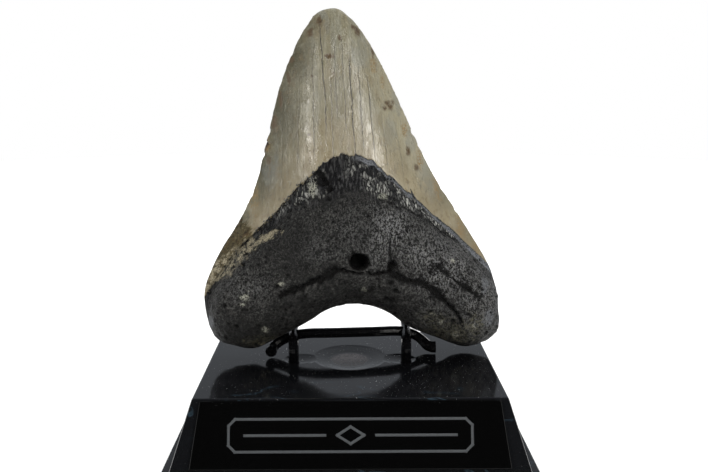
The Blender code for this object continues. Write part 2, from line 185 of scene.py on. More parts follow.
# Soft broad patches: x, z, half width, half height, strength.
PATCHES = {}
# Painted light on the root: a brighter wash, mostly over its right half.
PATCHES["root_painted_light"] = [
    (13, 46, 9, 8, 1), (33, 31, 12, 8, 1), (46, 20, 8, 10, 0.7), (8, 38, 8, 5, 0.5), (-36, 26, 8, 5, 0.4),
    (0, 46, 5, 7, 0.3), (28, 14, 9, 6, 0.35), (40, 38, 8, 5, 0.7), (26, 38, 11, 7, 0.9),
    (-12, 40, 7, 5, 0.3),
]
# Painted shade on the root: a darker wash, mostly over its left half and low in the middle.
PATCHES["root_painted_shade"] = [
    (-9, 56.6, 5, 3, 0.9), (-22, 42, 10, 8, 0.75), (-39, 11, 12, 7, 0.95), (-20, 20, 11, 6, 0.6),
    (6, 24, 9, 3, 0.3), (-31, 47.6, 5, 3, 0.7), (3, 47, 4, 9, 0.45), (-20, 34, 8, 5, 0.7),
]
# Umber: olive-brown weathering that has rotted on the left wing, and painted shade that darkens the
# crown, most on its left flank.
PATCHES["umber_and_shade"] = [
    (-24, 88, 8, 17, 0.92), (-18.4, 107, 6, 12, 0.9), (-29, 65, 9, 14, 0.9), (-40, 43, 6, 8, 2.4),
    (-46, 33, 7, 10, 2.4), (33, 56, 8, 9, 0.55), (42, 42, 8, 10, 0.7), (-19, 66, 7, 6, 0.5),
    (-13, 119, 4, 5, 0.6), (18, 68, 6, 6, 0.3), (-3, 86, 7, 16, 0.26), (-1, 72, 6, 9, 0.26),
    (46, 36, 5, 7, 0.9),
]
# Open seams in the root: chains of (x, z, half width), each with its depth.
ROOT_SEAMS = [
    ([
        (-25, 24, 0.4), (-20.3, 26.3, 1.1), (-14.8, 28.6, 1.1), (-10.4, 30.1, 1.1), (-7, 32.6, 1.7),
        (-5, 32.9, 1), (-2.9, 32.3, 0.5), (2.6, 31.5, 0.5), (9.5, 31.2, 0.7), (12.4, 31.6, 1),
        (13.6, 33.6, 1.9), (14, 35.4, 0.8),
    ], 1.7),
    ([
        (12.8, 32.2, 0.9), (16, 29.8, 1.2), (19.5, 28.4, 1), (23.3, 27.7, 1.3), (26, 26.2, 1.6),
        (28.4, 24.4, 1.4), (32.3, 20.8, 0.9), (37.2, 15.8, 0.5), (39, 12, 0.3),
    ], 1.6),
    ([
        (28.6, 33.8, 0.4), (29.8, 33, 0.7), (33.4, 30.2, 0.8), (36.2, 27.6, 0.6), (41.1, 24.3, 0.8),
        (45.8, 20.7, 0.4),
    ], 0.8),
    ([(13.4, 35, 0.5), (12.9, 41.5, 0.35), (13.4, 47, 0.2)], 0.4),
]
# Pits in the root: x, z, radius, depth.
ROOT_PITS = [
    (14.2, 33.4, 2, 2), (-1.6, 37, 0.8, 0.8), (5.5, 51, 0.9, 1), (13.2, 27.6, 1.3, 1.1),
    (-10.4, 65.4, 1.7, 1.5), (-9.4, 63, 1.9, 1.7), (24.4, 29.4, 0.8, 0.7), (20.4, 30.6, 0.7, 0.6),
    (27.6, 22, 0.8, 0.7), (-17.2, 25.4, 0.8, 0.7), (-8, 60.6, 1.6, 1.4), (31.9, 33.6, 0.8, 0.6),
    (27.8, 30.6, 1, 0.5), (11.8, 21.6, 1.2, 0.9), (-26, 27.2, 0.9, 0.9), (41.6, 15, 0.9, 0.9),
    (-40, 13, 1.1, 0.8), (0, 38.6, 0.8, 0.7), (46.5, 24, 0.7, 0.6), (21, 47, 0.7, 0.6),
    (14.8, 24.6, 1, 0.8), (8.4, 29.2, 0.9, 0.8), (36, 12.6, 1, 0.8), (-38, 19, 0.8, 0.6),
    (30, 26.6, 0.9, 0.8),
]
# Shallow rings left by burrowers: x, z, radius.
ROOT_RINGS = [(32.2, 34, 1), (28, 31.2, 1.5), (29.4, 30.6, 1), (14, 21.6, 1), (36.6, 24.2, 0.9)]
FINE_PITS = 900

# Chips out of the cutting edges: share of the edge from the tip, length along it, depth into the tooth.
LEFT_CHIPS = [
    (0.36, 0.012, 0.5), (0.395, 0.006, 0.7), (0.43, 0.008, 0.4), (0.12, 0.01, 0.25), (0.55, 0.01, 0.35),
]
RIGHT_CHIPS = [
    (0.37, 0.01, 0.45), (0.41, 0.006, 0.4), (0.29, 0.01, 0.2), (0.55, 0.012, 0.35), (0.62, 0.008, 0.4),
]

FRONT_COLUMNS = 232
FRONT_ROWS = 300


# Settings that a user would change


class ToothSettings(bpy.types.PropertyGroup):
    enamel: FloatVectorProperty(
        name="Enamel", description="Main colour of the crown", subtype="COLOR", size=3, min=0, max=1,
        default=(0.195, 0.176, 0.118),
    )
    root: FloatVectorProperty(
        name="Root", description="Main colour of the root", subtype="COLOR", size=3, min=0, max=1,
        default=(0.008, 0.008, 0.008),
    )
    grain: FloatProperty(
        name="Root grain", description="Height of the root's rough surface",
        default=0.2 * MM, unit="LENGTH",
    )
    seed: IntProperty(name="Seed", description="Picks another set of fine pits", default=7)


class CradleSettings(bpy.types.PropertyGroup):
    vinyl: FloatVectorProperty(
        name="Vinyl", description="Colour of the dipped coating", subtype="COLOR", size=3, min=0, max=1,
        default=(0.0015, 0.0015, 0.0018),
    )


class StandSettings(bpy.types.PropertyGroup):
    resin: FloatVectorProperty(
        name="Resin", description="Colour of the cast block", subtype="COLOR", size=3, min=0, max=1,
        default=(0.0035, 0.0038, 0.0045),
    )
    plate: FloatVectorProperty(
        name="Plate", description="Colour of the name plate", subtype="COLOR", size=3, min=0, max=1,
        default=(0.001, 0.001, 0.001),
    )
    engraving: FloatVectorProperty(
        name="Engraving", description="Colour of the engraved border", subtype="COLOR", size=3,
        min=0, max=1,
        default=(0.03, 0.034, 0.038),
    )


class StudioSettings(bpy.types.PropertyGroup):
    front: FloatProperty(
        name="Front", description="Strength of the soft light from the front", default=0.08, min=0,
    )
    back: FloatProperty(
        name="Back", description="Strength of the soft light from the backdrop", default=0.34, min=0,
    )
    key: FloatProperty(
        name="Key", description="Power of the stronger front light", default=7.4, unit="POWER",
    )
    top: FloatProperty(
        name="Overhead light", description="Power of the overhead light", default=66, unit="POWER",
    )
    lens: FloatProperty(
        name="Lens", description="Focal length of the camera", default=40.68, unit="CAMERA",
    )


# Curves and noise


def smooth_curve(points, count, scale=1.0):
    """A Catmull-Rom curve through the points, sampled at even steps of length."""
    knots = np.array(points, float)
    padded = np.vstack([2 * knots[0] - knots[1], knots, 2 * knots[-1] - knots[-2]])
    share = np.linspace(0, 1, 24, endpoint=False)[:, None]
    runs = []
    for a, b, c, d in zip(padded, padded[1:], padded[2:], padded[3:]):
        runs.append(
            0.5 * (2 * b + (c - a) * share + (2 * a - 5 * b + 4 * c - d) * share**2
                   + (3 * b - a - 3 * c + d) * share**3)
        )
    line = np.vstack([*runs, knots[-1:]])
    travelled = np.concatenate([[0], np.cumsum(np.linalg.norm(np.diff(line, axis=0), axis=1))])
    at = np.linspace(0, travelled[-1], count + 1)
    return np.stack([np.interp(at, travelled, line[:, i]) for i in range(line.shape[1])], axis=1) * scale


def along(curve, share):
    """Points of an evenly sampled curve at shares of its length."""
    places = np.linspace(0, 1, len(curve))
    return np.stack([np.interp(share, places, curve[:, i]) for i in range(2)], axis=-1)


def pair(a, b):
    """Two grids of numbers as one grid of places."""
    return np.stack([a, b], axis=-1)


def smoothstep(low, high, value):
    share = np.clip((value - low) / (high - low), 0, 1)
    return share * share * (3 - 2 * share)


def window(value, start, full, fading, end):
    """Rises to 1 from start to full, and falls back to 0 from fading to end."""
    return smoothstep(start, full, value) * smoothstep(end, fading, value)


def bumps(points, seed=0):
    """Smooth random heights between -1 and 1, about one bump per unit of length."""
    cell = np.floor(points).astype(np.int64)
    share = points - cell
    share = share * share * (3 - 2 * share)
    total = 0
    for corner in itertools.product((0, 1), repeat=points.shape[-1]):
        mixed = np.full(points.shape[:-1], seed * 2654435761 + 40503, np.int64)
        weight = 1
        for axis, (step, prime) in enumerate(zip(corner, (73856093, 19349663, 83492791))):
            mixed = mixed ^ ((cell[..., axis] + step) * prime)
            weight = weight * (share[..., axis] if step else 1 - share[..., axis])
        mixed = (mixed ^ (mixed >> 13)) * 1274126177 & 0xFFFFFFFF
        mixed = (mixed ^ (mixed >> 16)) * 2246822519 & 0xFFFFFFFF
        total = total + weight * (mixed / 2**31 - 1)
    return total


def layered(points, layers, seed=0, fade=0.5):
    """Several sizes of bumps on top of each other."""
    total = 0
    for layer in range(layers):
        total = total + fade**layer * bumps(points * 2**layer, seed + 17 * layer)
    return total


def distance_to(points, line, closed=False):
    """Shortest distance from each point to a chain of points."""
    ends = np.roll(line, -1, axis=0) if closed else line[1:]
    nearest = np.full(points.shape[:-1], np.inf)
    for start, end in zip(line, ends):
        run = end - start
        reach = run @ run
        if reach == 0:
            continue
        share = np.clip(((points - start) @ run) / reach, 0, 1)
        nearest = np.minimum(nearest, np.linalg.norm(points - start - share[..., None] * run, axis=-1))
    return nearest


def rounding(distance, reach):
    """A quarter circle: 0 at the rim, 1 from reach inwards."""
    share = np.clip(distance / reach, 0, 1)
    return np.sqrt(1 - (1 - share) ** 2)


def seam_depth(points, chain):
    """How far each point is inside a seam whose width changes along it: 1 in the middle, 0 outside."""
    nearest = np.full(points.shape[:-1], np.inf)
    for start, end in zip(chain, chain[1:]):
        run = end[:2] - start[:2]
        share = np.clip(((points - start[:2]) @ run) / (run @ run), 0, 1)
        width = start[2] + share * (end[2] - start[2])
        away = np.linalg.norm(points - start[:2] - share[..., None] * run, axis=-1)
        nearest = np.minimum(nearest, away / width)
    return smoothstep(1, 0.2, nearest)


def patches(x, z, marks, ragged):
    """Soft broad patches with uneven borders, each as strong as its last number."""
    total = np.zeros_like(x)
    for mark_x, mark_z, half_width, half_height, strength in marks:
        away = ((x - mark_x) / half_width) ** 2 + ((z - mark_z) / half_height) ** 2
        total = np.maximum(total, strength * np.exp(-away * (1 + 0.5 * ragged)))
    return np.clip(total, 0, 1)


def spots(x, z, marks, ragged):
    """How far each point is inside the marks, 1 at their middles, with a ragged edge."""
    total = np.zeros_like(x)
    for mark_x, mark_z, half_width, half_height in marks:
        away = np.hypot((x - mark_x) / half_width, (z - mark_z) / half_height)
        total = np.maximum(total, smoothstep(1.25, 0.6, away + 0.45 * ragged))
    return total


# The tooth's form


def tooth_plan(u, v, edges):
    """Where grid point (u, v) lies in the outline: u from left edge to right edge, v from tip to root."""
    left, right, tip, rim = edges
    u, v = u[..., None], v[..., None]
    rows = (1 - v) * along(tip, u[..., 0]) + v * along(rim, u[..., 0])
    columns = (1 - u) * along(left, v[..., 0]) + u * along(right, v[..., 0])
    corners = (1 - u) * (1 - v) * tip[0] + u * (1 - v) * tip[-1] + (1 - u) * v * rim[0] + u * v * rim[-1]
    return rows + columns - corners


def enamel_row(u):
    """Row where the enamel ends: an arch over the root, with wings that run down both sides."""
    edge = smooth_curve(ENAMEL_EDGE, CURVE_STEPS)
    return np.interp(u, edge[:, 0], edge[:, 1])


def ragged_enamel_row(u):
    """The enamel's edge with its small steps, tongues and one split."""
    where = pair(u * 26, 0 * u)
    steps = 0.007 * bumps(where, 3) + 0.004 * bumps(where * 3.1, 4) + 0.0014 * bumps(where * 8, 5)
    split = 0.03 * np.exp(-(((u - 0.815) / 0.006) ** 2))
    middle = window(u, 0, 0.05, 0.95, 1)
    return enamel_row(u) + (steps - split) * middle


def tooth_row(share, edge):
    """Row at a share of the grid's height, with grid lines along the enamel's edge and the crest."""
    crest = np.maximum(CREST_ROW, edge + 0.04)
    crown = np.clip(share / ENAMEL_SHARE, 0, 1) ** 1.05 * edge
    root = np.clip((share - ENAMEL_SHARE) / (CREST_SHARE - ENAMEL_SHARE), 0, 1) * (crest - edge)
    base = np.clip((share - CREST_SHARE) / (1 - CREST_SHARE), 0, 1)
    return crown + root + (1 - (1 - base) ** 1.5) * (1 - crest)


def tooth_depths(u, v, x, inward, ragged_edge):
    """Depth of the tooth in front of and behind its rim sheet."""
    side = np.abs(2 * u - 1)
    edge = enamel_row(u)
    rootward = smoothstep(edge, edge + 0.17, v)
    growth = np.minimum(v / CROWN_BASE_ROW, 1.05) ** 0.62
    facet = np.clip((side - CROWN_FLAT) / (1 - CROWN_FLAT), 0, 1)
    crown_front = CROWN_FRONT * growth * (1 - facet**CROWN_TURN) * (1 - 0.04 * side**2)
    crown_back = CROWN_BACK * growth * (1 - side**2.2)
    boss = np.exp(-((x / BOSS_HALF_WIDTH) ** 2))
    crest = CREST_FOOT + (1 - CREST_FOOT) * np.clip((1 - v) / (1 - CREST_ROW), 0, 1)
    root_front = (LOBE_FRONT + BOSS_FRONT * boss) * rounding(inward, ROOT_ROUNDING) * crest
    root_back = (LOBE_BACK + BOSS_BACK * boss) * rounding(inward, ROOT_ROUNDING * 0.75)
    ledge = ENAMEL_STEP * smoothstep(ragged_edge, ragged_edge + 0.007, v) * (1 - rootward)
    front = crown_front + (root_front - crown_front) * rootward
    front -= ledge * np.clip(crown_front / (4 * ENAMEL_STEP), 0, 1)
    back = crown_back + (root_back - crown_back) * rootward
    back -= 0.5 * ledge * np.clip(crown_back / (4 * ENAMEL_STEP), 0, 1)
    return np.maximum(front, 0), np.maximum(back, 0)


def denser_at_edges(share, pull=0.35):
    """Moves evenly spaced shares towards both ends of the range."""
    return (1 - pull) * share + pull * (0.5 - 0.5 * np.cos(math.pi * share))


def chipped(edge, chips, inward, seed):
    """An edge with worn serrations and a few chips. inward is 1 or -1, the way into the tooth along x."""
    share = np.linspace(0, 1, len(edge))
    worn = 0.1 * (1 + bumps(pair(share * 150, 0 * share), seed)) * smoothstep(0.72, 0.6, share)
    worn += 0.07 * (1 + bumps(pair(share * 60, 0 * share), seed + 1))
    for middle, length, depth in chips:
        worn += depth * np.exp(-(((share - middle) / length) ** 4))
    ends = window(share, 0, 0.01, 0.97, 1)
    return np.stack([edge[:, 0] + inward * worn * ends * MM, edge[:, 1]], axis=1)


class Side:
    """One face of the tooth as a grid of points, with what its finish needs to know at each of them."""

    def __init__(self, facing, columns, rows):
        self.facing = facing
        runs = (LEFT_EDGE, RIGHT_EDGE, TIP, ROOT_RIM)
        plain = [smooth_curve(run, CURVE_STEPS, scale=MM) for run in runs]
        left, right, tip, rim = plain
        outline = np.vstack([line[::4] for line in (tip, right, rim[::-1], left[::-1])])
        share = np.linspace(0, 1, rows + 1)[:, None] + np.zeros((1, columns + 1))
        u = denser_at_edges(np.linspace(0, 1, columns + 1))[None, :] + np.zeros_like(share)
        edge = ragged_enamel_row(u)
        v = tooth_row(share, edge)
        plan = tooth_plan(u, v, plain)
        worn = [chipped(left, LEFT_CHIPS, 1, 20), chipped(right, RIGHT_CHIPS, -1, 30), tip, rim]
        chips = tooth_plan(u, v, worn)
        inward = distance_to(plan, outline, closed=True)
        inward[0, :] = inward[-1, :] = 0
        inward[:, 0] = inward[:, -1] = 0
        front, back = tooth_depths(u, v, plan[..., 0], inward, edge)
        depth = front if facing < 0 else back
        near_edge = np.exp(-inward / (2.5 * MM))[..., None]
        flat = plan + (chips - plan) * near_edge
        self.u, self.v, self.share = u, v, share
        self.x, self.z = plan[..., 0] / MM, plan[..., 1] / MM
        self.inward = inward / MM
        self.below_enamel = (v - edge) * np.linalg.norm(left[-1] - left[0]) / MM
        self.points = np.stack([flat[..., 0], facing * depth, flat[..., 1]], axis=-1)

    def normals(self):
        down, across = np.gradient(self.points, axis=(0, 1))
        normal = np.cross(down, across) * -self.facing
        return normal / np.maximum(np.linalg.norm(normal, axis=-1), 1e-12)[..., None]

    def push(self, height):
        """Moves the surface along its normals by heights in millimetres, not at all on the shared rim."""
        held = np.clip(self.inward / 0.8, 0, 1)
        self.points = self.points + self.normals() * (height * held * MM)[..., None]

    def grain_space(self, across, through, down):
        """Places for noise, in bumps per millimetre along each axis."""
        return self.points / MM * np.array([across, through, down])


def relieve_enamel(side, crown, seed):
    """Long shallow waves, and small scars near the cutting edges."""
    scars = np.maximum(0, layered(side.grain_space(0.8, 0.3, 0.8), 2, seed + 41))
    waves = 0.07 * layered(side.grain_space(0.25, 0.1, 0.03), 3, seed + 40)
    return crown * (waves - 0.16 * np.exp(-side.inward / 2.5) * scars)


def relieve_neck(side, neck, root, down_neck, neck_width, seed):
    """A smooth lip under the enamel, then fibres with cells of scaly enamel left on them."""
    u, below = side.u, side.below_enamel
    right_half = smoothstep(0.5, 0.58, u)
    lip_reach = 2 + 0.45 * bumps(pair(u * 22, 0 * u), 48) + 3.5 * smoothstep(0.86, 1, u)
    lip = smoothstep(0.2, 0.5, below) * smoothstep(lip_reach + 0.2, lip_reach - 0.2, below) * right_half
    fibres = layered(side.grain_space(1.1, 0.5, 0.16), 3, seed + 42)
    height = neck * (1 - lip) * (0.22 * fibres - 0.14)
    height -= 0.2 * root * np.exp(-(((below - lip_reach - 0.35) / 0.35) ** 2)) * smoothstep(0.48, 0.56, u)
    right_band = window(u, 0.5, 0.58, 0.9, 0.97) * (0.5 + 0.8 * smoothstep(0.62, 0.74, u))
    left_band = 0.5 * window(u, 0.1, 0.2, 0.36, 0.42)
    upper_half = smoothstep(0.75, 0.45, down_neck) * window(u, 0.36, 0.5, 0.56, 0.62)
    in_band = window(down_neck, 0.08, 0.2, 0.9, 1.04)
    coverage = np.maximum((1.15 * right_band + left_band) * in_band, 0.42 * upper_half)
    clumps = layered(side.grain_space(0.62, 0.4, 0.3), 3, seed + 43)
    scales = neck * (1 - lip) * smoothstep(0.12, 0.5, coverage + 0.26 * clumps)
    scales = scales * np.clip(1.6 * coverage, 0, 1)
    foot = np.exp(-(((down_neck - 1.02) * neck_width / 0.5) ** 2))
    foot = foot * root * window(u, 0.6, 0.68, 0.9, 0.97)
    return height + 0.2 * scales - 0.25 * foot, lip, scales, foot


def relieve_root(side, on_root, grain_height, seed):
    """Broad lumps, coarse grain and a porous skin, coarser under the seam."""
    lumps = 0.55 * layered(side.grain_space(0.09, 0.09, 0.09), 2, seed + 44)
    coarse = 0.3 * smoothstep(34, 24, side.z) * layered(side.grain_space(0.32, 0.32, 0.32), 2, seed + 46)
    grain = grain_height / MM * layered(side.grain_space(0.62, 0.62, 0.45), 4, seed + 45, 0.65)
    return on_root * (lumps + coarse + grain)


def pit_root(side, height, root, on_root, ragged, rng):
    """Sinks fine pits, the named pits and the burrowers' rings. Returns how far each point is in one."""
    x, z = side.x, side.z
    pits = np.zeros_like(x)
    fine_x = rng.uniform(-51, 54, FINE_PITS)
    fine_z = rng.uniform(3, 64, FINE_PITS)
    fine_radius = 0.32 + 0.4 * rng.random(FINE_PITS) ** 3
    fine = list(zip(fine_x, fine_z, fine_radius, 0.8 * fine_radius))
    for pit_x, pit_z, radius, depth in fine + (ROOT_PITS if side.facing < 0 else []):
        box = (np.abs(x - pit_x) < 2 * radius) & (np.abs(z - pit_z) < 2 * radius)
        if not box.any():
            continue
        away = np.hypot(x[box] - pit_x, z[box] - pit_z) / radius + 0.25 * ragged[box]
        bowl = smoothstep(1.15, 0.35, away) * root[box]
        height[box] -= depth * bowl
        pits[box] = np.maximum(pits[box], bowl)
    for ring_x, ring_z, radius in ROOT_RINGS:
        away = np.hypot(x - ring_x, (z - ring_z) * 1.3) / radius + 0.2 * ragged
        ring = smoothstep(0.4, 0.1, np.abs(away - 0.8)) * on_root
        height -= 0.3 * ring
        pits = np.maximum(pits, 0.7 * ring)
    return pits


def open_seams(side, height, root, ragged):
    """Opens the seams, a little wider in painted shade than in depth. Returns how far each point is in
    one.
    """
    seam = np.zeros_like(side.x)
    jagged = layered(side.grain_space(1.6, 1.6, 1.6), 2, 47)
    place = pair(side.x + 0.5 * ragged, side.z + 0.4 * np.roll(ragged, 9, axis=1) + 0.5 * jagged)
    for chain, depth in ROOT_SEAMS:
        chain = smooth_curve(chain, 60)
        chain[:, 2] *= 1 + 0.6 * bumps(chain[:, :2] * 0.9, 49)
        height -= depth * seam_depth(place, chain) * root
        chain[:, 2] *= 1.7
        seam = np.maximum(seam, seam_depth(place, chain) * root)
    return seam


def crack_marks(x, z):
    """Each point's place among the cracks, the distance between them there, and the nearest's width."""
    wander = 0.35 * bumps(pair(z * 0.12, 0 * z), 70)
    wander += 0.16 * bumps(pair(z * 0.6, x), 71) + 0.07 * bumps(pair(z * 1.7, x), 72)
    lines = [np.interp(-z, -np.array(CRACK_ROWS, float), row[:3]) + wander for row in CRACKS]
    passed = sum((x > line).astype(int) for line in lines)
    last = len(lines) - 1
    phase, gap = (x - lines[0]) / 4, np.full_like(x, 4.0)
    for i, (here, after) in enumerate(zip(lines, lines[1:])):
        phase = np.where(passed == i + 1, i + (x - here) / (after - here), phase)
        gap = np.where(passed == i + 1, after - here, gap)
    phase = np.where(passed > last, last + (x - lines[-1]) / 4, phase)
    nearest = np.clip(np.rint(phase), 0, last).astype(int)
    starts, ends, widths = (np.array([row[i] for row in CRACKS], float)[nearest] for i in (3, 4, 5))
    opened = widths * smoothstep(starts + 2, starts - 6, z) * smoothstep(ends - 2, ends + 5, z)
    return phase, gap, np.where((phase < -0.5) | (phase > last + 0.5), 0, opened)


def wear_surface(side, settings):
    """Gives one face its relief, and returns the named values that its finish reads."""
    x, z, below = side.x, side.z, side.below_enamel
    front = side.facing < 0
    seed = 0 if front else 500
    rng = np.random.default_rng(settings.seed + seed)
    ragged = layered(side.grain_space(0.9, 0.9, 0.9), 3, seed + 11)
    crown = smoothstep(0.2, -0.2, below)
    root = 1 - crown
    neck_width = 3.5 + 13 * np.exp(-(((side.u - 0.5) / 0.3) ** 2))
    down_neck = below / neck_width
    neck = root * smoothstep(1.2, 0.75, down_neck + 0.22 * ragged)
    on_root = root * (1 - neck)

    height, lip, scales, scale_foot = relieve_neck(side, neck, root, down_neck, neck_width, seed)
    height += relieve_enamel(side, crown, seed) + relieve_root(side, on_root, settings.grain, seed)
    pits = np.maximum(pit_root(side, height, root, on_root, ragged, rng), 0.8 * scale_foot)
    hole = np.zeros_like(x)
    if front:
        pits = np.maximum(pits, open_seams(side, height, root, ragged))
        hole_x, hole_z, half_width, half_height, depth = FORAMEN
        away = np.hypot((x - hole_x) / half_width, (z - hole_z) / half_height) + 0.05 * ragged
        hole = smoothstep(1.06, 0.9, away)
    side.push(height)
    if front:
        side.points[..., 1] += depth * MM * smoothstep(1.04, 0.8, away)

    phase, gap, opened = crack_marks(x, z)
    own_x = x if front else -x
    marks = {
        "below_enamel": below, "neck": neck, "scales": scales, "pits": pits, "hole": hole,
        "worn": np.maximum(lip, 0.55 * spots(own_x, z, WORN_SPOTS, ragged) * on_root),
        "crack_phase": phase if front else -phase,
        "crack_gap": gap,
        "crack_open": opened if front else 0.7 * opened,
    }
    for name, places in SPOTS.items():
        marks[name] = spots(own_x, z, places, ragged)
    for name, places in PATCHES.items():
        marks[name] = patches(own_x, z, places, ragged)
    film = pair(own_x + 0.9 * ragged, z + 0.9 * np.roll(ragged, 7, axis=1))
    marks["tan"] = np.maximum(marks["tan"], seam_depth(film, smooth_curve(TAN_FILM, 24)))
    return marks


def tooth_mesh(settings):
    """Both faces of the tooth in one closed mesh. The back is half as fine and shares the front's rim."""
    front = Side(-1, FRONT_COLUMNS, FRONT_ROWS)
    back = Side(1, FRONT_COLUMNS // 2, FRONT_ROWS // 2)
    front_marks = wear_surface(front, settings)
    back_marks = wear_surface(back, settings)
    rows, columns = FRONT_ROWS + 1, FRONT_COLUMNS + 1
    front_id = np.arange(rows * columns).reshape(rows, columns)
    back_id = np.full((rows // 2 + 1, columns // 2 + 1), -1)
    back_id[0, :], back_id[-1, :] = front_id[0, ::2], front_id[-1, ::2]
    back_id[:, 0], back_id[:, -1] = front_id[::2, 0], front_id[::2, -1]
    inner = back_id[1:-1, 1:-1]
    inner[...] = rows * columns + np.arange(inner.size).reshape(inner.shape)

    points = np.vstack([front.points.reshape(-1, 3), back.points[1:-1, 1:-1].reshape(-1, 3)])
    corners = [front_id[:-1, :-1], front_id[1:, :-1], front_id[1:, 1:], front_id[:-1, 1:]]
    quads = np.stack(corners, axis=-1)
    faces = [list(quad) for quad in quads.reshape(-1, 4)]
    front_faces = len(faces)
    last_row, last_column = back_id.shape[0] - 2, back_id.shape[1] - 2
    for i in range(last_row + 1):
        for j in range(last_column + 1):
            ring = [back_id[i, j]]
            if i == 0:
                ring.append(front_id[0, 2 * j + 1])
            ring.append(back_id[i, j + 1])
            if j == last_column:
                ring.append(front_id[2 * i + 1, -1])
            ring.append(back_id[i + 1, j + 1])
            if i == last_row:
                ring.append(front_id[-1, 2 * j + 1])
            ring.append(back_id[i + 1, j])
            if j == 0:
                ring.append(front_id[2 * i + 1, 0])
            faces.append(ring)

    mesh = bpy.data.meshes.new("fossil_tooth")
    mesh.from_pydata(points.tolist(), [], [[int(i) for i in ring] for ring in faces])
    for name, values in front_marks.items():
        both = np.concatenate([values.ravel(), back_marks[name][1:-1, 1:-1].ravel()])
        mesh.attributes.new(name, "FLOAT", "POINT").data.foreach_set("value", both.astype(np.float32))
    dull = np.concatenate([dull_faces(front_marks, FRONT_ROWS), dull_faces(back_marks, FRONT_ROWS // 2)])
    mesh.polygons.foreach_set("material_index", dull.astype(np.int32))
    lay_out(mesh, front, back, front_faces)
    mesh.shade_smooth()
    return mesh


def dull_faces(marks, rows):
    """Which faces of one side wear the dull finish: all below the enamel's edge, and weathered enamel."""
    row = np.arange(rows)[:, None]
    return ((row >= round(ENAMEL_SHARE * rows)) | (marks["umber_and_shade"][:-1, :-1] > 0.93)).ravel()


def lay_out(mesh, front, back, front_faces):
    """A map with the front on its left half and the back on its right half."""
    flat = np.concatenate([
        pair(front.u, 1 - front.share).reshape(-1, 2),
        pair(back.u, 1 - back.share)[1:-1, 1:-1].reshape(-1, 2),
    ])
    corners = np.empty(len(mesh.loops), np.int32)
    mesh.loops.foreach_get("vertex_index", corners)
    places = flat[corners] * np.array([0.48, 0.98]) + 0.01
    first_back_loop = mesh.polygons[front_faces].loop_start
    places[first_back_loop:, 0] += 0.5
    mesh.uv_layers.new(name="OFBake").data.foreach_set("uv", places.astype(np.float32).ravel())


# Finishes


def feed(socket, value):
    """Joins a socket to another node's output, or gives it a value."""
    if isinstance(value, bpy.types.NodeSocket):
        socket.id_data.links.new(value, socket)
    elif socket.type == "RGBA" and len(value) == 3:
        socket.default_value = (*value, 1)
    else:
        socket.default_value = value


def add(tree, kind, inputs=None, **settings):
    """A shader node with its settings, and with values or other nodes' outputs on its inputs."""
    made = tree.nodes.new("ShaderNode" + kind)
    for name, value in settings.items():
        setattr(made, name, value)
    for name, value in (inputs or {}).items():
        feed(made.inputs[name], value)
    return made


def tree_of(*values):
    """The node tree that the values come from."""
    return next(value.id_data for value in values if isinstance(value, bpy.types.NodeSocket))


def finish(name):
    """A new material, its tree and its main shader."""
    made = bpy.data.materials.new(name)
    made.use_nodes = True
    return made, made.node_tree, made.node_tree.nodes["Principled BSDF"]


def number(tree, name):
    """A value stored at the mesh's points."""
    return add(tree, "Attribute", attribute_name=name).outputs["Fac"]


def places_in_mm(tree, stretch=(1, 1, 1)):
    """The object's own coordinates in millimetres, stretched per axis."""
    where = add(tree, "TexCoord").outputs["Object"]
    return add(tree, "Mapping", {"Vector": where, "Scale": [1000 * s for s in stretch]}).outputs["Vector"]


def places_on_tooth(tree, stretch=(1, 1, 1)):
    """The tooth's own frame in millimetres, stretched per axis."""
    where = add(tree, "TexCoord").outputs["Object"]
    own = add(tree, "Mapping", {
        "Vector": where, "Location": TOOTH_PLACE, "Rotation": TOOTH_TILT,
    }, vector_type="TEXTURE").outputs["Vector"]
    return add(tree, "Mapping", {"Vector": own, "Scale": [1000 * s for s in stretch]}).outputs["Vector"]


def noise(tree, where, scale, detail=3, roughness=0.5, distortion=0):
    made = add(tree, "TexNoise", {
        "Vector": where, "Scale": scale, "Detail": detail, "Roughness": roughness,
        "Distortion": distortion,
    })
    return made.outputs["Fac"]


def tooth_noise(tree, *sizes, stretch=(1, 1, 1)):
    """Noise that lies with the tooth."""
    return noise(tree, places_on_tooth(tree, stretch), *sizes)


def stand_noise(tree, *sizes, stretch=(1, 1, 1)):
    """Noise that lies with the stand."""
    return noise(tree, places_in_mm(tree, stretch), *sizes)


def between(value, low, high, start=0, end=1):
    """Moves smoothly from start to end as the value goes from low to high."""
    return add(value.id_data, "MapRange", {
        "Value": value, "From Min": low, "From Max": high, "To Min": start, "To Max": end,
    }, interpolation_type="SMOOTHSTEP").outputs["Result"]


def maths(operation, a, b=0.0):
    made = add(tree_of(a, b), "Math", operation=operation)
    for socket, value in zip(made.inputs, (a, b, 0.0)):
        feed(socket, value)
    return made.outputs[0]


def times(*values):
    total = values[0]
    for value in values[1:]:
        total = maths("MULTIPLY", total, value)
    return total


def the_rest(share):
    """What a share leaves over."""
    return maths("SUBTRACT", 1, share)


def along_axis(where, axis):
    return add(where.id_data, "SeparateXYZ", {"Vector": where}).outputs[axis]


def tint(share, below, above):
    """Mixes two colours by a share."""
    made = add(share.id_data, "Mix", data_type="RGBA")
    for i, value in zip((0, 6, 7), (share, below, above)):
        feed(made.inputs[i], value)
    return made.outputs[2]


def overlaid(colour, layers):
    """Lays shades over a colour, each up to an amount as its value goes from low to high."""
    for value, low, high, amount, shade in layers:
        colour = tint(between(value, low, high, 0, amount), colour, shade)
    return colour


def relief(height, distance, under=None):
    """A bump of the given full height in metres, over another one where there is one."""
    inputs = {"Height": height, "Distance": distance, "Strength": 1.0}
    if under:
        inputs["Normal"] = under
    return add(height.id_data, "Bump", inputs).outputs["Normal"]


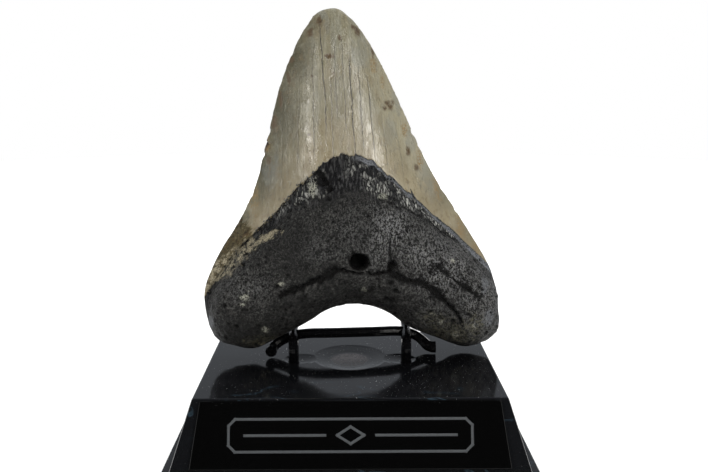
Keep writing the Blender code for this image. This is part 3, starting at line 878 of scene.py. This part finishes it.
def coat(shader, colour, roughness, normal, gloss=0.5):
    """Joins a finish to its shader. The gloss is the same all over."""
    for name, value in (("Base Color", colour), ("Roughness", roughness), ("Normal", normal)):
        feed(shader.inputs[name], value)
    shader.inputs["Specular IOR Level"].default_value = gloss


def enamel_colour(tree, base):
    """Khaki enamel with lengthwise fibres, clouds and stains, and painted shade in the umber patches."""
    wide = tooth_noise(tree, 0.07, 3, stretch=(1, 1, 0.6))
    cloud = tooth_noise(tree, 0.2, 4, 0.6, stretch=(1, 1, 0.5))
    fibres = tooth_noise(tree, 1.7, 4, 0.6, stretch=(1, 0.4, 0.045))
    stripes = tooth_noise(tree, 0.4, 3, 0.6, stretch=(1, 0.4, 0.06))
    grain = tooth_noise(tree, 1.3, 3, 0.7, stretch=(1, 1, 0.6))
    blotch = tooth_noise(tree, 0.5, 4, 0.65, stretch=(1, 1, 0.8))
    across = along_axis(places_on_tooth(tree), "X")
    colour = overlaid(base, (
        (wide, 0.38, 0.62, 1, (0.165, 0.152, 0.1)),
        (stripes, 0.46, 0.66, 0.4, (0.165, 0.172, 0.15)),
        (cloud, 0.5, 0.7, 0.6, (0.14, 0.112, 0.062)),
        (cloud, 0.46, 0.32, 0.3, (0.31, 0.292, 0.22)),
        (fibres, 0.45, 0.7, 0.35, (0.13, 0.115, 0.075)),
        (fibres, 0.5, 0.32, 0.22, (0.39, 0.365, 0.28)),
        (grain, 0.52, 0.75, 0.4, (0.13, 0.11, 0.07)),
        (across, 4, 20, 0.55, (0.31, 0.28, 0.195)),
    ))
    umber_and_shade, low = number(tree, "umber_and_shade"), between(number(tree, "below_enamel"), -28, -2)
    aged = maths("MAXIMUM", low, umber_and_shade)
    shares = (
        # The umber darkening is partly olive-brown weathering and partly painted shade.
        (times(umber_and_shade, between(blotch, 0.3, 0.55, 0.82, 1)), (0.038, 0.034, 0.014)),
        (times(number(tree, "slate"), 0.35), (0.15, 0.16, 0.15)),
        (times(low, 0.35), (0.22, 0.165, 0.085)),
        (times(between(blotch, 0.52, 0.68), aged, 0.65), (0.11, 0.078, 0.036)),
        (times(between(blotch, 0.42, 0.3), aged, 0.35), (0.27, 0.265, 0.215)),
        (times(between(umber_and_shade, 0.92, 0.99), 0.85), weathered_enamel(tree, blotch)),
    )
    for share, shade in shares:
        colour = tint(share, colour, shade)
    speck = tooth_noise(tree, 1.6, 3, 0.6)
    ochre = times(number(tree, "ochre"), between(speck, 0.42, 0.58, 0, 0.9))
    colour = tint(ochre, colour, (0.18, 0.12, 0.048))
    brown = times(number(tree, "brown"), between(speck, 0.26, 0.46, 0.45, 1))
    return tint(brown, colour, (0.07, 0.046, 0.022))


def weathered_enamel(tree, blotch):
    """Mottled brown of the enamel that has rotted on the left wing."""
    crumbs = tooth_noise(tree, 0.85, 4, 0.75)
    mottled = tint(between(crumbs, 0.36, 0.52), (0.007, 0.006, 0.004), (0.06, 0.048, 0.024))
    return overlaid(mottled, (
        (crumbs, 0.56, 0.68, 1, (0.2, 0.17, 0.11)),
        (blotch, 0.55, 0.65, 0.6, (0.07, 0.038, 0.014)),
    ))


def crack_lines(tree):
    """How deep the enamel is cracked: the long cracks, broken here and there, and a faint crackle."""
    phase = number(tree, "crack_phase")
    from_line = maths("ABSOLUTE", maths("SUBTRACT", phase, maths("ROUND", phase)))
    away = times(from_line, number(tree, "crack_gap"))
    breaks = tooth_noise(tree, 0.9, 3, 0.6, stretch=(1, 1, 0.5))
    opened = times(number(tree, "crack_open"), between(breaks, 0.3, 0.5, 0.35, 1))
    long_cracks = times(between(away, 0.27, 0.08), opened)
    crackle = add(tree, "TexVoronoi", {
        "Vector": places_on_tooth(tree, (0.62, 0.1, 0.05)), "Scale": 1.0, "Randomness": 1.0,
    }, feature="DISTANCE_TO_EDGE").outputs["Distance"]
    faint = times(between(crackle, 0.05, 0.0), between(breaks, 0.45, 0.62), 0.4)
    return maths("MAXIMUM", long_cracks, faint)


def root_colour(tree, base):
    """Charcoal root with salt-and-pepper grain, the neck's scales, pale and olive patches, and broad
    painted light and painted shade.
    """
    pepper = tooth_noise(tree, 1.3, 3, 0.7, stretch=(1, 1, 0.62))
    fine = tooth_noise(tree, 2.6, 2, 0.6, stretch=(1, 1, 0.7))
    salt = tooth_noise(tree, 1.5, 3, 0.75)
    cloud = tooth_noise(tree, 0.16, 4, 0.6)
    # Painted light: where the root's painted-light patches lie, the grain's pale side and the pale specks
    # grow brighter. The specks are partly pale grains and partly painted glints.
    uneven = times(number(tree, "root_painted_light"), between(cloud, 0.3, 0.6, 0.5, 1))
    lit = tint(between(cloud, 0.35, 0.65), (0.045, 0.044, 0.042), (0.02, 0.02, 0.019))
    lit = tint(uneven, lit, (0.185, 0.185, 0.19))
    colour = tint(between(pepper, 0.45, 0.54), base, lit)
    colour = tint(between(fine, 0.5, 0.42, 0, 0.92), colour, (0.002, 0.002, 0.002))
    light_grain = times(between(salt, 0.56, 0.63), between(uneven, 0, 1, 0.3, 0.75))
    smooth = tint(between(salt, 0.38, 0.58), (0.05, 0.054, 0.06), (0.2, 0.21, 0.23))
    film = tooth_noise(tree, 0.8, 4, 0.7)
    pale = times(number(tree, "pale"), between(fine, 0.42, 0.56), between(film, 0.38, 0.5))
    olive = times(number(tree, "olive"), between(film, 0.4, 0.62), between(pepper, 0.4, 0.55))
    for share, shade in (
        (light_grain, (0.32, 0.32, 0.3)),
        # Painted shade from the root's painted-shade patches.
        (times(number(tree, "root_painted_shade"), 0.8), (0.006, 0.006, 0.006)),
        (number(tree, "neck"), neck_colour(tree)),
        (times(number(tree, "worn"), 0.9), smooth),
        (times(pale, 0.85), (0.36, 0.36, 0.3)),
        (times(olive, 0.75), (0.1, 0.094, 0.06)),
    ):
        colour = tint(share, colour, shade)
    return colour


def neck_colour(tree):
    """Dark fibres of the neck with hatched pale scales of enamel left on them."""
    fibres = tooth_noise(tree, 1.5, 4, 0.65, stretch=(1, 0.5, 0.13))
    strip = tint(between(fibres, 0.49, 0.6), (0.002, 0.002, 0.003), (0.045, 0.045, 0.046))
    cells = {"Vector": places_on_tooth(tree, (0.85, 0.35, 0.36)), "Scale": 1.0}
    gaps = add(tree, "TexVoronoi", cells, feature="DISTANCE_TO_EDGE").outputs["Distance"]
    each = add(tree, "TexVoronoi", cells).outputs["Color"]
    shade = add(tree, "SeparateColor", {"Color": each}).outputs["Red"]
    hatching = tooth_noise(tree, 2.3, 2, 0.5, stretch=(1, 0.4, 0.13))
    across = along_axis(places_on_tooth(tree), "X")
    flake = tint(between(shade, 0.2, 0.95), (0.015, 0.016, 0.018), (0.36, 0.36, 0.335))
    flake = overlaid(flake, (
        (across, 13, 24, 0.75, (0.38, 0.38, 0.36)),
        (hatching, 0.53, 0.46, 0.97, (0.005, 0.005, 0.005)),
    ))
    return tint(times(number(tree, "scales"), between(gaps, 0.04, 0.14)), strip, flake)


def sandy_film(tree, colour):
    """A thin crust of sand in broken patches over whatever lies under it."""
    film = tooth_noise(tree, 0.42, 6, 0.74, stretch=(1, 1, 1.1))
    fine = tooth_noise(tree, 2.2, 3, 0.65)
    sand = times(between(number(tree, "tan"), 0, 0.6), between(film, 0.45, 0.53, 0, 0.92))
    grains = tint(between(fine, 0.3, 0.6), (0.05, 0.042, 0.028), (0.32, 0.285, 0.2))
    return tint(sand, colour, grains)


def fossil_finish(settings, name, gloss):
    """Enamel above its worn edge, mineralised root below it, with one gloss all over."""
    made, tree, shader = finish(name)
    fray = tooth_noise(tree, 1.1, 3, 0.6)
    across = along_axis(places_on_tooth(tree), "X")
    umber_and_shade = number(tree, "umber_and_shade")
    reach = maths("MAXIMUM", between(umber_and_shade, 0.7, 0.95, 0.35, 1.6), between(across, -8, -18, 0.35, 1.7))
    offset = times(reach, between(fray, 0.3, 0.7, -1, 1))
    frayed = maths("ADD", number(tree, "below_enamel"), offset)
    is_root = between(frayed, -0.1, 0.15)
    is_enamel = the_rest(is_root)
    cracks = crack_lines(tree)
    enamel = tint(cracks, enamel_colour(tree, settings.enamel), (0.018, 0.015, 0.011))
    enamel = tint(times(between(frayed, -0.7, -0.1), 0.45), enamel, (0.09, 0.075, 0.05))
    colour = sandy_film(tree, tint(is_root, enamel, root_colour(tree, settings.root)))
    crumble = tooth_noise(tree, 1.5, 3, 0.6)
    # Painted shade: the pits, rings, seams and the groove under the neck's scales are painted black. At
    # the seams the black runs a little wider than the grooves.
    painted_hollow_shade = maths("ADD", number(tree, "pits"), between(crumble, 0.3, 0.7, -0.55, 0.44))
    painted_hollow_shade = times(is_root, between(painted_hollow_shade, 0.36, 0.48, 0, 0.97))
    colour = tint(painted_hollow_shade, colour, (0.002, 0.002, 0.002))
    # Painted shade: the foramen's hollow is painted black.
    colour = tint(number(tree, "hole"), colour, (0.001, 0.001, 0.001))

    polish = between(tooth_noise(tree, 0.6, 4, stretch=(1, 1, 0.2)), 0.35, 0.65, 0.24, 0.38)
    polish = maths("ADD", polish, times(umber_and_shade, 0.22))
    rough = between(tooth_noise(tree, 1.3, 3), 0.35, 0.65, 0.4, 0.68)
    roughness = add(tree, "Mix", {"Factor": is_root, "A": polish, "B": rough}).outputs["Result"]

    flaking = maths("MAXIMUM", is_root, between(umber_and_shade, 0.92, 1, 0, 0.7))
    skin = relief(times(tooth_noise(tree, 2.6, 5, 0.75), flaking), 0.6 * MM)
    strands = tooth_noise(tree, 2, 4, 0.65, stretch=(1, 0.5, 0.1))
    silk = relief(times(strands, is_enamel), 0.04 * MM, under=skin)
    crazing = tooth_noise(tree, 2.1, 3, 0.6, stretch=(1, 1, 0.7))
    fine_wear = tooth_noise(tree, 0.35, 3, stretch=(1, 1, 0.6))
    crazed = times(crazing, between(fine_wear, 0.35, 0.6, 0.35, 1), is_enamel)
    glints = relief(crazed, 0.15 * MM, under=silk)
    grooves = relief(the_rest(cracks), 0.12 * MM, under=glints)
    coat(shader, colour, roughness, grooves, gloss)
    return made


def vinyl_finish(settings):
    """Thick glossy dip over steel rod, with soft ripples and a few specks."""
    made, tree, shader = finish("dipped_vinyl")
    ripples = stand_noise(tree, 0.45, 3)
    specks = stand_noise(tree, 3.2, 2, 0.7)
    colour = tint(times(between(specks, 0.68, 0.75), 0.6), settings.vinyl, (0.2, 0.2, 0.2))
    waves = relief(specks, 0.012 * MM, under=relief(ripples, 0.1 * MM))
    coat(shader, colour, between(ripples, 0.3, 0.7, 0.1, 0.2), waves, 0.13)
    return made


def resin_finish(name, colour, wisps=0.0, gloss=0.42):
    """Polished black cast resin with dust, hairline scratches and, on top, faint bluish wisps."""
    made, tree, shader = finish(name)
    dust = between(stand_noise(tree, 2.4, 2, 0.7), 0.72, 0.77)
    lint = between(stand_noise(tree, 1.4, 2, 0.6, stretch=(0.2, 1, 1)), 0.7, 0.76, 0, 0.3)
    on_top = between(along_axis(places_in_mm(tree), "Z"), 28, 29.5, 0.06, 1)
    specks = times(maths("MAXIMUM", dust, lint), on_top)
    colour = tint(times(specks, 0.5), colour, (0.12, 0.125, 0.13))
    polish = between(stand_noise(tree, 0.05, 4, 0.6), 0.3, 0.7, 0.05, 0.13)
    polish = maths("ADD", polish, times(specks, 0.4))
    if wisps:
        worn = dish_wear(tree)
        sparks = times(between(stand_noise(tree, 1.9, 2, 0.6), 0.71, 0.74), on_top)
        colour = tint(bluish_wisps(tree, wisps), colour, (0.02, 0.034, 0.046))
        colour = tint(worn, colour, (0.05, 0.046, 0.048))
        colour = tint(sparks, colour, (0.5, 0.5, 0.5))
        polish = maths("ADD", polish, times(worn, 0.4))
    orange_peel = relief(stand_noise(tree, 0.09, 2), 0.05 * MM)
    scratches = stand_noise(tree, 1.8, 4, 0.7, stretch=(0.12, 1.4, 1.4))
    scratches = relief(scratches, 0.004 * MM, under=orange_peel)
    coat(shader, colour, polish, scratches, gloss)
    return made


def bluish_wisps(tree, strength):
    """Thin bluish wisps near the front of the platform."""
    swirl = stand_noise(tree, 0.07, 3, 0.55, 1.6, stretch=(0.5, 1, 1))
    line = between(maths("ABSOLUTE", maths("SUBTRACT", swirl, 0.5)), 0.022, 0.0)
    near = between(along_axis(places_in_mm(tree), "Y"), -12, -26)
    return times(line, near, between(stand_noise(tree, 0.06, 2), 0.5, 0.62), strength)


def dish_wear(tree):
    """Dull crust in the middle of the dish."""
    middle = (0, DISH_CENTRE / MM, PLATFORM_TOP / MM)
    ends = {0: places_in_mm(tree), 1: middle}
    away = add(tree, "VectorMath", ends, operation="DISTANCE").outputs["Value"]
    crust = between(stand_noise(tree, 1.2, 4, 0.7), 0.35, 0.6, 0.3, 1)
    return times(between(away, 8, 5.5), crust)


def engraving_finish(settings):
    """The matt pale core that the engraving lays bare."""
    made, tree, shader = finish("engraved_core")
    strokes = stand_noise(tree, 1.2, 3, 0.7, stretch=(1, 1, 3))
    light = tuple(min(1, 1.7 * c) for c in settings.engraving)
    colour = tint(between(strokes, 0.35, 0.65), settings.engraving, light)
    coat(shader, colour, between(strokes, 0.3, 0.7, 0.5, 0.75), relief(strokes, 0.05 * MM))
    return made


# Pieces


def placed(name, data):
    """A new object in the scene."""
    made = bpy.data.objects.new(name, data)
    bpy.context.collection.objects.link(made)
    return made


def show(mesh, name, look, slot, *replaced):
    """Puts a mesh in the scene as a piece of the object."""
    made = placed(name, mesh)
    mesh.materials.append(look)
    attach(made, BODY)
    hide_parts(*replaced)


def dress(node, look):
    """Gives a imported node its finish."""
    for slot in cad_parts[node].material_slots:
        slot.material = look


def build_tooth(settings):
    mesh = tooth_mesh(settings)
    mesh.transform(Matrix.Translation(TOOTH_PLACE) @ TOOTH_TILT.to_matrix().to_4x4())
    show(mesh, "fossil_tooth", fossil_finish(settings, "fossil_enamel", 0.8), "fossil", "tooth")
    mesh.materials.append(fossil_finish(settings, "fossil_root", 0.18))


def build_cradle(settings):
    dress("cradle_frame", vinyl_finish(settings))


def build_stand(settings):
    dress("stand_base", resin_finish("polished_black_resin", settings.resin, wisps=0.8))


def plate_blank():
    """The plate as a thin bevelled trapezoid that hangs from z = 0 of its own frame, facing -y."""
    bm = bmesh.new()
    bmesh.ops.create_cube(bm, size=1)
    for corner in bm.verts:
        corner.co.x *= PLATE_TOP_WIDTH if corner.co.z > 0 else PLATE_FOOT_WIDTH
        corner.co.y *= PLATE_THICKNESS
        corner.co.z = 0 if corner.co.z > 0 else -PLATE_HEIGHT
    bmesh.ops.bevel(bm, geom=bm.edges[:], offset=PLATE_EDGE, segments=3, profile=0.5, affect="EDGES")
    return bm


def stroke(bm, start, end, width, depth):
    """A square-ended bar that cuts one straight groove into the plate's face."""
    start, end = Vector((start[0], 0, start[1])), Vector((end[0], 0, end[1]))
    run = end - start
    turn = Matrix.Rotation(-math.atan2(run.z, run.x), 4, "Y")
    size = Matrix.Diagonal((run.length + width, 2 * depth, width, 1))
    place = Matrix.Translation((start + end) / 2 + Vector((0, -PLATE_THICKNESS / 2, 0)))
    bmesh.ops.create_cube(bm, size=1, matrix=place @ turn @ size)


def ornament():
    """Ends of each stroke of the engraving, in millimetres from the middle of the plate."""
    wide, tall, gap = ORNAMENT_WIDTH / 2, ORNAMENT_HEIGHT / 2, ORNAMENT_CORNER
    frame_points = [
        (-wide + gap, tall), (wide - gap, tall), (wide, tall - gap), (wide, gap - tall),
        (wide - gap, -tall), (gap - wide, -tall), (-wide, gap - tall), (-wide, tall - gap),
    ]
    loops = [frame_points, [(0, 2.6), (4.2, 0), (0, -2.6), (-4.2, 0)]]
    lines = []
    for loop in loops:
        lines += list(zip(loop, loop[1:] + loop[:1]))
    for side in (-1, 1):
        lines.append(((side * 8, 0), (side * (wide - 5), 0)))
    return lines


def mesh_of(bm, name):
    """Turns a finished bmesh into a mesh and frees it."""
    mesh = bpy.data.meshes.new(name)
    bm.to_mesh(mesh)
    bm.free()
    return mesh


def engraved(bm):
    """Cuts the ornament into the plate and gives the grooves the second material."""
    plate = placed("plate_blank", mesh_of(bm, "plate_blank"))
    for ends in ornament():
        bm = bmesh.new()
        start, end = [(x * MM, ORNAMENT_CENTRE + z * MM) for x, z in ends]
        stroke(bm, start, end, ORNAMENT_STROKE, ENGRAVING_DEPTH)
        groove = plate.modifiers.new("groove", "BOOLEAN")
        groove.operation = "DIFFERENCE"
        groove.object = placed("groove", mesh_of(bm, "groove"))
    cutters = [groove.object for groove in plate.modifiers]
    shape = plate.evaluated_get(bpy.context.evaluated_depsgraph_get())
    mesh = bpy.data.meshes.new_from_object(shape)
    for made in (plate, *cutters):
        bpy.data.objects.remove(made)
    floor = ENGRAVING_DEPTH - PLATE_THICKNESS / 2
    for polygon in mesh.polygons:
        on_floor = all(abs(mesh.vertices[i].co.y - floor) < 0.01 * MM for i in polygon.vertices)
        polygon.material_index = 1 if on_floor else 0
    return mesh


def build_plate(settings):
    mesh = engraved(plate_blank())
    tilt = math.atan(WALL_SLOPE)
    outward = Vector((0, -math.cos(tilt), math.sin(tilt)))
    down = Vector((0, -math.sin(tilt), -math.cos(tilt)))
    edge = Vector((0, -PLATFORM_DEPTH / 2, PLATFORM_TOP))
    place = edge + down * PLATE_DROP + outward * (PLATE_GAP + PLATE_THICKNESS / 2)
    mesh.transform(Matrix.Translation(place) @ Matrix.Rotation(-tilt, 4, "X"))
    look = resin_finish("engraved_plate", settings.plate, gloss=0.12)
    show(mesh, "engraved_plate", look, "black_plate", "name_plate")
    mesh.materials.append(engraving_finish(settings))


# Studio


def soft_light(name, power, size, place, target, colour=(1, 1, 1)):
    data = bpy.data.lights.new(name, "AREA")
    data.shape = "RECTANGLE"
    data.size, data.size_y = size
    data.energy = power
    data.color = colour
    made = placed(name, data)
    made.location = place
    made.rotation_euler = (Vector(target) - Vector(place)).to_track_quat("-Z", "Y").to_euler()
    return made


def build_floor():
    bm = bmesh.new()
    bmesh.ops.create_circle(bm, cap_ends=True, segments=96, radius=1.1)
    mesh = mesh_of(bm, "studio_floor")
    floor = placed("studio_floor", mesh)
    look, _, shader = finish("pale_floor")
    shader.inputs["Base Color"].default_value = (0.86, 0.86, 0.86, 1)
    shader.inputs["Roughness"].default_value = 0.9
    shader.inputs["Specular IOR Level"].default_value = 0.1
    mesh.materials.append(look)


def build_surroundings(settings):
    world = bpy.data.worlds.new("pale_studio")
    world.use_nodes = True
    tree = world.node_tree
    tree.nodes.clear()
    seen = add(tree, "LightPath").outputs["Is Camera Ray"]
    towards = add(tree, "SeparateXYZ", {"Vector": add(tree, "TexCoord").outputs["Generated"]})
    soft = between(towards.outputs["Y"], -0.6, 0.9, settings.front, settings.back)
    strength = add(tree, "Mix", {"Factor": seen, "A": soft, "B": 1.0}).outputs["Result"]
    white = tint(seen, (0.92, 0.98, 1.06), (1, 1, 1))
    backdrop = add(tree, "Background", {"Color": white, "Strength": strength})
    output = add(tree, "OutputWorld")
    tree.links.new(backdrop.outputs[0], output.inputs[0])
    bpy.context.scene.world = world


def build_camera(settings):
    data = bpy.data.cameras.new("view")
    data.lens = settings.lens
    data.sensor_width = 36
    data.clip_start = 0.01
    data.dof.use_dof = False
    made = placed("view", data)
    made.location = (-1.4 * MM, -270.4 * MM, 129.6 * MM)
    made.rotation_euler = Euler((math.radians(90 - 11.32), 0, math.radians(-0.6)))
    bpy.context.scene.camera = made


def build_studio(settings):
    build_floor()
    build_surroundings(settings)
    build_camera(settings)
    middle = (0, 0, 0.09)
    warm = (1, 0.98, 0.93)
    soft_light("left_softbox", settings.key * 0.58, (0.19, 0.4), (-0.62, -0.67, 0.5), middle, warm)
    soft_light("right_softbox", settings.key, (0.4, 0.42), (0.56, -0.7, 0.58), middle, warm)
    overhead = soft_light("overhead_softbox", settings.top, (2.4, 1.4), (0, 0.95, 1.6), (0, 0.95, 0))
    overhead.visible_glossy = False
    bpy.context.scene.view_settings.view_transform = "Standard"


# Add-on


class FOSSIL_OT_tooth(bpy.types.Operator):
    """Build the tooth with its worn enamel, neck and root"""

    bl_idname = "fossil.tooth"
    bl_label = "Tooth"

    def execute(self, context):
        build_tooth(context.scene.fossil_tooth)
        return {"FINISHED"}


class FOSSIL_OT_cradle(bpy.types.Operator):
    """Dress the rod cradle in its dipped coating"""

    bl_idname = "fossil.cradle"
    bl_label = "Cradle"

    def execute(self, context):
        build_cradle(context.scene.fossil_cradle)
        return {"FINISHED"}


class FOSSIL_OT_stand(bpy.types.Operator):
    """Dress the stand in its polished black resin"""

    bl_idname = "fossil.stand"
    bl_label = "Stand"

    def execute(self, context):
        build_stand(context.scene.fossil_stand)
        return {"FINISHED"}


class FOSSIL_OT_plate(bpy.types.Operator):
    """Build the name plate with its engraved border"""

    bl_idname = "fossil.plate"
    bl_label = "Name plate"

    def execute(self, context):
        build_plate(context.scene.fossil_stand)
        return {"FINISHED"}


class FOSSIL_OT_studio(bpy.types.Operator):
    """Set up the pale floor, the soft lights and the camera"""

    bl_idname = "fossil.studio"
    bl_label = "Studio"

    def execute(self, context):
        build_studio(context.scene.fossil_studio)
        return {"FINISHED"}


class FOSSIL_PT_panel(bpy.types.Panel):
    bl_idname = "FOSSIL_PT_panel"
    bl_label = "Fossil Tooth"
    bl_space_type = "VIEW_3D"
    bl_region_type = "UI"
    bl_category = "Fossil Tooth"

    def draw(self, context):
        layout = self.layout
        for title, group, operators in PANEL_ROWS:
            layout.label(text=title)
            settings = getattr(context.scene, group)
            for name in settings.__annotations__:
                layout.prop(settings, name)
            for operator in operators:
                layout.operator(operator)


PANEL_ROWS = (
    ("Tooth", "fossil_tooth", ("fossil.tooth",)),
    ("Cradle", "fossil_cradle", ("fossil.cradle",)),
    ("Stand", "fossil_stand", ("fossil.stand", "fossil.plate")),
    ("Studio", "fossil_studio", ("fossil.studio",)),
)
GROUPS = {
    "fossil_tooth": ToothSettings,
    "fossil_cradle": CradleSettings,
    "fossil_stand": StandSettings,
    "fossil_studio": StudioSettings,
}
CLASSES = (
    *GROUPS.values(), FOSSIL_OT_tooth, FOSSIL_OT_cradle, FOSSIL_OT_stand, FOSSIL_OT_plate,
    FOSSIL_OT_studio, FOSSIL_PT_panel,
)


def register():
    for made in CLASSES:
        bpy.utils.register_class(made)
    for name, group in GROUPS.items():
        setattr(bpy.types.Scene, name, PointerProperty(type=group))


def unregister():
    for name in GROUPS:
        delattr(bpy.types.Scene, name)
    for made in reversed(CLASSES):
        bpy.utils.unregister_class(made)


def main():
    register()
    bpy.ops.fossil.tooth()
    bpy.ops.fossil.cradle()
    bpy.ops.fossil.stand()
    bpy.ops.fossil.plate()
    bpy.ops.fossil.studio()


if __name__ == "__main__":
    main()
